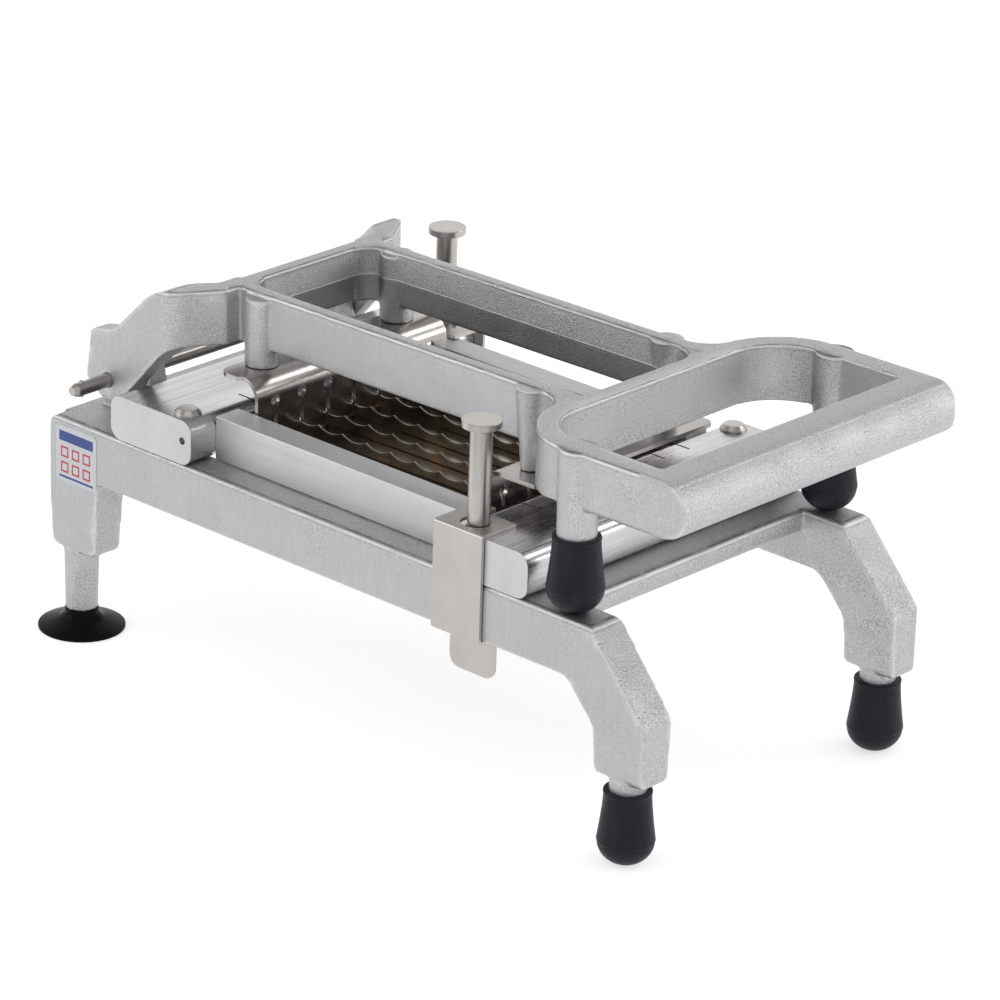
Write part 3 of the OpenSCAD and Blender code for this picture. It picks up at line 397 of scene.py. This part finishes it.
def casting_finish(name, rim, painted_lift, lean=0.0, pivot=0.0, trim_end=FAR, parting=FAR, frame_end=FAR):
    """Tumbled sand casting: a sparkling grain, flanks smoothed on a belt, painted shade in the
    hollows, a painted shade line, a painted highlight line and the painted shadow of a trim step
    below the rim, a parting line with a painted highlight and painted shade below it inside the
    frame, and worn edges brightened as painted highlights. The rim is a height at the pivot and
    leans along the slicer; lift is how far the faces that the belt has missed are lightened, as
    painted light."""
    f = Finish(name)
    shade = tuple(finishes().casting)
    x, y, z = f.xyz(f.place)
    below = rim + (x - pivot) * lean - z
    # Distances from the painted shade line and the painted highlight line below the rim
    off_shade_line = abs(below - forms().shade_drop)
    off_highlight_line = abs(below - forms().highlight_drop)
    # Distance from the trim line, painted as the shadow of a step
    off_trim_shadow = abs(below - forms().trim_drop)
    off_parting = abs(below - parting)
    bend = f.node("ShaderNodeNewGeometry", out="Pointiness")
    flat = f.node("ShaderNodeAttribute", {"attribute_name": "sanded"}, out="Fac")
    sanded = flat * f.span(f.noise(scale=26), 0.36, 0.48, to_low=0.55)
    patch = f.span(f.noise(scale=45, detail=3), 0.40, 0.62, to_low=0.6)
    ragged = f.span(f.noise(scale=90), 0.36, 0.56, to_low=0.5) * (x < trim_end)
    sand = patch * f.span(sanded, 0.0, 1.0, to_low=1.0, to_high=0.38)
    inner = (1 - flat) * (x < frame_end) * (abs(y) < forms().frame_half)
    flash = f.extent(off_parting, FLASH_HIGHLIGHT) * inner * ragged
    worn = f.extent(bend, WORN_EDGE_HIGHLIGHT)
    grain = f.noise(scale=1450, rough=0.6)
    fine = f.noise(scale=2700, detail=1)
    cloud = f.noise(scale=30, detail=3)
    brush = f.lines(stretched(axis=2, across=900.0, along=45.0))
    tone = f.clouded(shade, cloud, 0.36, 0.66, dark=0.96, light=1.03)
    # Painted light on the faces that the belt has missed
    tone = f.mix((1 - sanded) * painted_lift, tone, scaled(shade, UNSANDED_PAINTED_LIGHT))
    # Besides grain and belt lines, these marks paint shade into the hollows, along the rim and below
    # the parting line, and paint highlights along the rim, the flash and the worn edges
    tone = f.marked(
        tone, shade,
        (grain, sand, SPARKLE), (grain, sand, PITS), (brush, sanded, BELT_LINES),
        (bend, 1.0, HOLLOW_SHADE), (bend, 1.0, WORN_EDGE_HIGHLIGHT),
        (off_highlight_line, ragged, RIM_HIGHLIGHT), (off_shade_line, ragged, RIM_SHADE), (off_trim_shadow, ragged, TRIM_SHADOW),
        (below - parting, inner, UNDER_PARTING_SHADE), (off_parting, inner * ragged, FLASH_HIGHLIGHT))
    dull = f.span(cloud, 0.3, 0.7, to_high=0.06) + f.span(sanded, 0.0, 1.0, to_low=0.02, to_high=0.0)
    rough = finishes().casting_rough + dull - f.span(worn, 0.0, 1.0, to_high=0.12)
    seam = f.bump(f.extent(off_highlight_line, RIM_HIGHLIGHT) + flash, distance=0.0005, strength=0.6)
    relief = (grain * 0.7 + fine * 0.3) * f.span(sand, 0.0, 1.0, to_low=0.12)
    normal = f.bump(relief, distance=0.0007, strength=0.9, normal=seam)
    return f.surface(Base_Color=tone, Metallic=1.0, Roughness=rough, Normal=normal)


def bar_finish(name, along, half, rough, marks):
    """Rolled bar stock: streaks and drag lines along the bar, and clean cut faces at its ends. Half
    is half the bar's length."""
    f = Finish(name)
    shade = tuple(finishes().bar)
    fine = f.lines(stretched(along, across=1300.0, along=9.0))
    deep = f.lines(stretched(along, across=230.0, along=4.0), rough=0.6)
    cloud = f.noise(scale=34, detail=3)
    grit = f.noise(scale=1500)
    bend = f.node("ShaderNodeNewGeometry", out="Pointiness")
    cut = f.span(abs(f.xyz(f.place)[along]), half - 0.0012, half - 0.0006)
    flank = (1 - cut) * marks
    tone = f.clouded(shade, cloud, 0.36, 0.68, dark=0.95, light=1.05)
    tone = f.marked(
        tone, shade,
        (fine, flank, STREAKS), (deep, flank, DRAG_DARK), (deep, flank, DRAG_LIGHT),
        (grit, 1.0, GRIT), (bend, 1.0, BAR_CORNERS))
    dull = f.span(fine, 0.3, 0.7, to_high=0.08) + f.span(deep, 0.45, 0.7, to_high=0.10)
    rough = rough + dull + f.span(cut, 0.0, 1.0, to_high=0.14)
    normal = f.bump((fine * 0.5 + deep * 0.5) * flank, distance=0.00020, strength=0.4)
    return f.surface(Base_Color=tone, Metallic=1.0, Roughness=rough, Normal=normal)


def stainless_finish(name, scales, shade, dull=0.0, marks=0.2):
    """Brushed stainless steel. Its brush lines are stretched by the scales, and dull adds to its
    roughness."""
    f = Finish(name)
    lines = f.lines(scales)
    cloud = f.noise(scale=40, detail=3)
    tone = f.clouded(shade, cloud, 0.35, 0.7, dark=0.94, light=1.05)
    tone = f.marked(tone, shade, (lines, marks, BRUSH_DARK), (lines, marks, BRUSH_LIGHT))
    rough = dull + finishes().stainless_rough
    rough = rough + f.span(lines, 0.3, 0.7, to_high=0.08) + f.span(cloud, 0.4, 0.7, to_high=0.04)
    normal = f.bump(lines, distance=0.00004, strength=marks)
    return f.surface(Base_Color=tone, Metallic=1.0, Roughness=rough, Normal=normal)


def turned_finish(name, shade, centre, axis, reflection_banding):
    """Turned stainless steel: rings on the ends, and drawn lines and dark bands of painted reflection
    down the flanks.
    """
    f = Finish(name)
    parts = [at - middle for at, middle in zip(f.xyz(f.place), centre)]
    run = parts.pop(axis)
    radius = (parts[0] * parts[0] + parts[1] * parts[1]).math("SQRT")
    outward = {0: radius * 1900.0, 1: run * 30.0}
    round_about = {0: parts[0] / radius * 1.5, 1: parts[1] / radius * 1.5, 2: run * 5.0}
    rings = f.noise(1.0, place=f.node("ShaderNodeCombineXYZ", None, outward))
    # Dark bands round the flank, painted as reflections of dark surroundings
    bands = f.noise(1.0, place=f.node("ShaderNodeCombineXYZ", None, round_about))
    facing = f.xyz(f.node("ShaderNodeNewGeometry", out="Normal"))[axis]
    flank = abs(facing) < 0.5
    lines = f.lines(stretched(axis, across=1300.0, along=14.0))
    cloud = f.noise(scale=55, detail=3)
    tone = f.clouded(shade, cloud, 0.35, 0.7, dark=0.92, light=1.06)
    tone = f.marked(
        tone, shade, (bands, flank * reflection_banding, REFLECTION_BANDS), (rings, 1.0, RINGS), (lines, 1.0, DRAWN_LINES))
    rough = finishes().stainless_rough + f.span(lines, 0.3, 0.7, to_low=0.02, to_high=0.08)
    normal = f.bump(rings * 0.5 + lines * 0.5, distance=0.00004, strength=0.2)
    return f.surface(Base_Color=tone, Metallic=1.0, Roughness=rough, Normal=normal)


def blade_finish(node):
    """Blade steel darkened as painted shade, under a brown film, with a pale honed edge on its
    scallops.
    """
    f = Finish("blade_steel")
    shade = tuple(finishes().blade)
    x, _, z = f.xyz(f.place)
    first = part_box("rear_block")[1].x + forms().scallop_first
    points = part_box(node)[0].z + forms().blade_height
    part = ((x - first) / forms().scallop_pitch).math("FRACT")
    depth = points - part * (1 - part) * (4 * forms().scallop_deep) - z
    edge = f.span(depth, *HONED)
    peak = f.span(abs(part - 0.5), 0.36, 0.48, to_low=0.55)
    lines = f.lines((60.0, 900.0, 2400.0))
    film = f.noise(scale=45, detail=4, rough=0.6)
    spots = f.span(f.noise(scale=70, detail=3), 0.56, 0.70, to_high=0.6)
    rust = tuple(c * tint for c, tint in zip(shade, RUST_TINT))
    tone = f.clouded(shade, film, 0.40, 0.64, dark=0.62, light=1.15)
    tone = f.mix(spots, tone, rust)
    tone = f.marked(tone, shade, (lines, 1.0, BLADE_LINES), (depth, 1.0, GROUND_STRIP))
    tone = f.mix(edge * peak, tone, tuple(finishes().blade_edge))
    rough = f.span(film, 0.3, 0.7, to_low=0.34, to_high=0.48) - f.span(edge, 0.0, 1.0, to_high=0.08)
    relief = lines * 0.4 + f.extent(depth, GROUND_STRIP) * 0.6
    normal = f.bump(relief, distance=0.0002, strength=0.4)
    return f.surface(Base_Color=tone, Metallic=1.0, Roughness=rough, Normal=normal)


def rubber_finish(name, shade, rough, gloss):
    """Moulded rubber: a matt grain, upright flow marks and a dusty bloom."""
    f = Finish(name)
    grain = f.noise(scale=1400)
    bloom = f.noise(scale=70, detail=4, rough=0.6)
    flow = f.lines(stretched(axis=2, across=260.0, along=22.0), detail=2)
    dusty = tuple(c * 2.0 + 0.004 for c in shade)
    glossed = tuple(c * 1.6 + 0.003 for c in shade)
    tone = f.mix(f.span(bloom, 0.45, 0.72, to_high=0.45), shade, dusty)
    tone = f.mix(f.span(flow, 0.5, 0.7, to_high=0.4), tone, glossed)
    rough = rough + f.span(bloom, 0.35, 0.7, to_high=0.12) - f.span(flow, 0.5, 0.7, to_high=0.06)
    normal = f.bump(grain, distance=0.00012, strength=0.35)
    return f.surface(Base_Color=tone, Roughness=rough, Specular_IOR_Level=gloss, Normal=normal)


def label_finish():
    """A printed film: a plain ground, a band along its top, a rule and two rows of tick boxes."""
    f = Finish("printed_label")
    ground = tuple(finishes().label_ground)
    low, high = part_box("side_label")
    x, _, z = f.xyz(f.place)
    across = (x - low.x) / (high.x - low.x)
    up = (z - low.z) / (high.z - low.z)
    paper = f.noise(scale=300)
    tone = f.clouded(ground, paper, 0.4, 0.6, dark=0.97, light=1.0)
    band = within(across, LABEL_WIDTH) * (within(up, LABEL_BAND) + within(up, LABEL_RULE))
    tone = f.mix(band, tone, tuple(finishes().label_band))
    cell_across = ((across - BOXES_ACROSS[0]) / BOX_PITCH_ACROSS).math("FRACT")
    cell_up = ((up - BOXES_UP[0]) / BOX_PITCH_UP).math("FRACT")
    outside, inside = (
        within(cell_across, wide) * within(cell_up, tall) for wide, tall in (BOX_OUTSIDE, BOX_INSIDE))
    boxes = within(across, BOXES_ACROSS) * within(up, BOXES_UP) * (outside - inside)
    tone = f.mix(boxes, tone, tuple(finishes().label_mark))
    normal = f.bump(paper, distance=0.00003, strength=0.3)
    return f.surface(Base_Color=tone, Roughness=finishes().label_rough, Normal=normal)


# Shapes

def piece_from(node):
    """A merged copy of a solid's mesh as a bmesh."""
    mesh = bmesh.new()
    mesh.from_mesh(NODES[node].data)
    bmesh.ops.remove_doubles(mesh, verts=mesh.verts, dist=MERGE_GAP)
    if not mesh.faces:
        raise RuntimeError("the solid %s has no faces" % node)
    return mesh


def add_piece(mesh, name, node, material):
    """Puts a bmesh into the scene in place of a solid."""
    data = bpy.data.meshes.new(name)
    mesh.to_mesh(data)
    mesh.free()
    piece = bpy.data.objects.new(name, data)
    bpy.context.scene.collection.objects.link(piece)
    data.materials.append(material)
    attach(piece, BODY_OF[node])
    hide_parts(node)
    return piece


def apply_modifiers(piece):
    bpy.context.view_layer.update()
    view = bpy.context.evaluated_depsgraph_get()
    data = bpy.data.meshes.new_from_object(piece.evaluated_get(view))
    if not data.polygons:
        raise RuntimeError("the modifiers left no faces on %s" % piece.name)
    piece.modifiers.clear()
    piece.data = data


def soften(node, name, material):
    """A casting: the solid's form with every edge eased and every joint filleted."""
    piece = add_piece(piece_from(node), name, node, material)
    cells = piece.modifiers.new("cells", "REMESH")
    cells.mode = "VOXEL"
    cells.voxel_size = forms().casting_cell
    cells.adaptivity = forms().casting_merge
    cells.use_smooth_shade = True
    ease = piece.modifiers.new("ease", "SMOOTH")
    ease.factor = forms().casting_ease
    ease.iterations = forms().casting_passes
    apply_modifiers(piece)
    mark_sanded(piece.data)


def mark_sanded(mesh):
    """Marks the flat outer flanks, which a belt has smoothed."""
    places = numpy.empty(3 * len(mesh.vertices))
    mesh.vertices.foreach_get("co", places)
    normals = numpy.empty(3 * len(mesh.vertices))
    mesh.vertex_normals.foreach_get("vector", normals)
    outward = normals[1::3] * numpy.sign(places[1::3])
    sanded = mesh.attributes.new("sanded", "FLOAT", "POINT")
    touched = (outward - BELT_START) / (BELT_FULL - BELT_START)
    sanded.data.foreach_set("value", numpy.clip(touched, 0, 1))


def break_edges(node, name, material, width):
    """A machined, folded or moulded piece: the solid's form with its sharp edges broken."""
    mesh = piece_from(node)
    bmesh.ops.dissolve_limit(mesh, angle_limit=FLAT_ANGLE, verts=mesh.verts, edges=mesh.edges)
    sharp = [e for e in mesh.edges if len(e.link_faces) == 2 and e.calc_face_angle() > SHARP_ANGLE]
    bmesh.ops.bevel(
        mesh, geom=sharp, offset=width, offset_type="OFFSET", segments=forms().edge_steps, profile=0.5,
        affect="EDGES", clamp_overlap=True, material=-1)
    piece = add_piece(mesh, name, node, material)
    piece.data.polygons.foreach_set("use_smooth", [True] * len(piece.data.polygons))
    piece.data.set_sharp_from_angle(angle=SHARP_ANGLE)
    even = piece.modifiers.new("even", "WEIGHTED_NORMAL")
    even.keep_sharp = True
    even.weight = 100
    apply_modifiers(piece)


def clothe(node, material):
    """Gives a solid that keeps its own mesh its finish."""
    slots = NODES[node].data.materials
    slots.clear()
    slots.append(material)


# Operators

class SLICER_OT_castings(bpy.types.Operator):
    """Softens the stand and the lever into tumbled castings"""
    bl_idname = "slicer.castings"
    bl_label = "Castings"

    def execute(self, context):
        stand = casting_finish("stand_casting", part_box("rear_block")[0].z, finishes().stand_painted_lift)
        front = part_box("lever_casting")[1]
        lever = casting_finish(
            "lever_casting", front.z, finishes().lever_painted_lift, lean=math.tan(forms().lever_lean),
            pivot=front.x, trim_end=front.x - forms().trim_stop, parting=forms().parting_drop,
            frame_end=front.x - forms().frame_front)
        soften("base_casting", "stand_casting_soft", stand)
        soften("lever_casting", "lever_casting_soft", lever)
        return {"FINISHED"}


class SLICER_OT_cartridge(bpy.types.Operator):
    """Gives the cartridge's blocks and bars their broken edges and streaks"""
    bl_idname = "slicer.cartridge"
    bl_label = "Cartridge"

    def execute(self, context):
        looks = finishes()
        across = bar_finish(
            "bar_stock_across", 1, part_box("rear_block")[1].y, looks.bar_rough, looks.block_marks)
        along = bar_finish(
            "bar_stock_along", 0, FAR, looks.bar_rough + looks.side_dull, looks.side_marks)
        for node in ("rear_block", "front_block"):
            break_edges(node, node + "_machined", across, forms().broken_edge)
        for node in ("side_bar_near", "side_bar_far"):
            break_edges(node, node + "_machined", along, forms().broken_edge)
        return {"FINISHED"}


class SLICER_OT_blades(bpy.types.Operator):
    """Gives the blades and their rods their steel"""
    bl_idname = "slicer.blades"
    bl_label = "Blades"

    def execute(self, context):
        steel = blade_finish(BLADES[0])
        for node in BLADES:
            clothe(node, steel)
        lines = stretched(axis=1, across=900.0, along=30.0)
        rod = stainless_finish("rod_steel", lines, scaled(finishes().stainless, 0.55))
        for node in ("blade_rod_rear", "blade_rod_front"):
            clothe(node, rod)
        return {"FINISHED"}


class SLICER_OT_fittings(bpy.types.Operator):
    """Gives the pins, dowels, hold-downs and screws their stainless steel"""
    bl_idname = "slicer.fittings"
    bl_label = "Fittings"

    def execute(self, context):
        looks = finishes()
        shade = tuple(looks.stainless)
        edge = forms().sheet_edge
        # Each turned piece's axis, the share of the shade it has and the strength of its painted
        # reflections
        turned = (
            ("lock_pin_near", 2, 1.0, looks.pin_reflections),
            ("lock_pin_far", 2, 1.0, looks.far_pin_reflections),
            ("dowel_near", 2, 1.0, looks.pin_reflections),
            ("dowel_far", 2, 1.0, looks.pin_reflections),
            ("hinge_pin", 1, 0.9, looks.pin_reflections),
        )
        for node, axis, by, reflection_banding in turned:
            low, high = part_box(node)
            steel = turned_finish(node + "_steel", scaled(shade, by), (low + high) / 2, axis, reflection_banding)
            break_edges(node, node + "_turned", steel, edge)
        lines = stretched(axis=2, across=1400.0, along=40.0)
        plate = stainless_finish("hold_down_steel", lines, shade, dull=0.08, marks=0.08)
        for node in ("hold_down_near", "hold_down_far"):
            break_edges(node, node + "_folded", plate, edge)
        bright = stainless_finish("screw_steel", (900.0, 900.0, 900.0), shade)
        for node in ("cup_studs", "tie_screws", "rear_screws", "front_screws", "detent_balls"):
            clothe(node, bright)
        return {"FINISHED"}


class SLICER_OT_pusher(bpy.types.Operator):
    """Gives the pusher its folded stainless sheet"""
    bl_idname = "slicer.pusher"
    bl_label = "Pusher"

    def execute(self, context):
        lines = stretched(axis=0, across=1500.0, along=60.0)
        sheet = stainless_finish("pusher_steel", lines, tuple(finishes().sheet), dull=-0.08)
        break_edges("pusher", "pusher_folded", sheet, forms().sheet_edge)
        return {"FINISHED"}


class SLICER_OT_rubber(bpy.types.Operator):
    """Moulds the feet, the bumpers and the suction cups"""
    bl_idname = "slicer.rubber"
    bl_label = "Rubber"

    def execute(self, context):
        looks = finishes()
        tip = rubber_finish("moulded_rubber", tuple(looks.rubber), looks.tip_rough, looks.tip_gloss)
        cup = rubber_finish("cup_rubber", tuple(looks.cup), looks.cup_rough, looks.cup_gloss)
        for node in ("foot_near", "foot_far", "bumper_near", "bumper_far"):
            break_edges(node, node + "_moulded", tip, forms().tip_lip)
        for node in ("suction_cup_near", "suction_cup_far"):
            break_edges(node, node + "_moulded", cup, forms().sheet_edge)
        return {"FINISHED"}


class SLICER_OT_label(bpy.types.Operator):
    """Prints the plain label on the rear leg"""
    bl_idname = "slicer.label"
    bl_label = "Label"

    def execute(self, context):
        clothe("side_label", label_finish())
        return {"FINISHED"}


class SLICER_OT_stage(bpy.types.Operator):
    """Lays the floor, hangs the lights and sets the camera"""
    bl_idname = "slicer.stage"
    bl_label = "Stage"

    def execute(self, context):
        stage = context.scene.slicer_stage
        self.lay_floor(stage)
        self.light_world(stage)
        for lamp in LAMPS:
            self.hang(*lamp)
        self.set_camera(stage)
        context.scene.view_settings.view_transform = "Standard"
        return {"FINISHED"}

    def lay_floor(self, stage):
        mesh = bmesh.new()
        bmesh.ops.create_grid(mesh, x_segments=1, y_segments=1, size=FLOOR_HALF)
        data = bpy.data.meshes.new("floor")
        mesh.to_mesh(data)
        mesh.free()
        floor = bpy.data.objects.new("floor", data)
        bpy.context.scene.collection.objects.link(floor)
        f = Finish("pale_floor")
        seen = f.node("ShaderNodeLightPath", out="Is Camera Ray")
        for ray in ("Is Glossy Ray", "Is Transmission Ray"):
            seen = seen.math("MAXIMUM", f.node("ShaderNodeLightPath", out=ray))
        matt = f.node("ShaderNodeBsdfDiffuse", None, {"Color": (*stage.floor, 1)})
        white = {"Color": (1, 1, 1, 1), "Strength": seen * stage.floor_white}
        glow = f.node("ShaderNodeEmission", None, white)
        both = f.node("ShaderNodeAddShader", None, {0: matt, 1: glow})
        f.node("ShaderNodeOutputMaterial", None, {"Surface": both})
        data.materials.append(f.material)

    def light_world(self, stage):
        world = bpy.data.worlds.new("studio")
        bpy.context.scene.world = world
        world.use_nodes = True
        sky = Nodes(world.node_tree)
        height = sky.xyz(sky.node("ShaderNodeTexCoord", out="Generated"))[2]
        fall = sky.node(
            "ShaderNodeMapRange", {"interpolation_type": "SMOOTHSTEP"},
            {"Value": height, "From Min": stage.sky_start, "From Max": stage.sky_full,
             "To Min": stage.horizon, "To Max": stage.sky})
        glow = sky.node("ShaderNodeBackground", None, {"Strength": fall})
        sky.node("ShaderNodeOutputWorld", None, {"Surface": glow})

    def hang(self, name, place, size, power):
        light = bpy.data.lights.new(name, "AREA")
        light.shape = "RECTANGLE"
        light.size, light.size_y = size
        light.energy = power
        lamp = bpy.data.objects.new(name, light)
        bpy.context.scene.collection.objects.link(lamp)
        lamp.location = place
        lamp.rotation_euler = (Vector(LAMP_TARGET) - Vector(place)).to_track_quat("-Z", "Y").to_euler()

    def set_camera(self, stage):
        a, e, r = stage.azimuth, stage.elevation, stage.roll
        back = Vector((math.sin(a) * math.cos(e), -math.cos(a) * math.cos(e), math.sin(e)))
        level = Vector((math.cos(a), math.sin(a), 0))
        upright = back.cross(level)
        right = math.cos(r) * level + math.sin(r) * upright
        up = math.cos(r) * upright - math.sin(r) * level
        data = bpy.data.cameras.new("camera")
        data.sensor_width = CAMERA_SENSOR
        data.lens = stage.lens
        data.clip_start, data.clip_end = CAMERA_REACH
        camera = bpy.data.objects.new("camera", data)
        bpy.context.scene.collection.objects.link(camera)
        turn = Matrix((right, up, back)).transposed().to_4x4()
        camera.matrix_world = Matrix.Translation(Vector(stage.target) + back * stage.distance) @ turn
        bpy.context.scene.camera = camera


OPERATORS = (
    SLICER_OT_castings,
    SLICER_OT_cartridge,
    SLICER_OT_blades,
    SLICER_OT_fittings,
    SLICER_OT_pusher,
    SLICER_OT_rubber,
    SLICER_OT_label,
    SLICER_OT_stage,
)


class SLICER_PT_panel(bpy.types.Panel):
    """Lists the operators and the sizes, finishes and stage settings"""
    bl_idname = "SLICER_PT_panel"
    bl_label = "Chicken Slicer"
    bl_space_type = "VIEW_3D"
    bl_region_type = "UI"
    bl_category = "Slicer"

    def draw(self, context):
        for operator in OPERATORS:
            self.layout.operator(operator.bl_idname)
        scene = context.scene
        for group in (scene.slicer_forms, scene.slicer_finishes, scene.slicer_stage):
            for key in group.__annotations__:
                self.layout.prop(group, key)


CLASSES = (SLICER_PG_forms, SLICER_PG_finishes, SLICER_PG_stage, *OPERATORS, SLICER_PT_panel)


def register():
    for item in CLASSES:
        bpy.utils.register_class(item)
    bpy.types.Scene.slicer_forms = bpy.props.PointerProperty(type=SLICER_PG_forms)
    bpy.types.Scene.slicer_finishes = bpy.props.PointerProperty(type=SLICER_PG_finishes)
    bpy.types.Scene.slicer_stage = bpy.props.PointerProperty(type=SLICER_PG_stage)


def unregister():
    del bpy.types.Scene.slicer_stage
    del bpy.types.Scene.slicer_finishes
    del bpy.types.Scene.slicer_forms
    for item in reversed(CLASSES):
        bpy.utils.unregister_class(item)


def main():
    register()
    bpy.ops.slicer.castings()
    bpy.ops.slicer.cartridge()
    bpy.ops.slicer.blades()
    bpy.ops.slicer.fittings()
    bpy.ops.slicer.pusher()
    bpy.ops.slicer.rubber()
    bpy.ops.slicer.label()
    bpy.ops.slicer.stage()


if __name__ == "__main__":
    main()
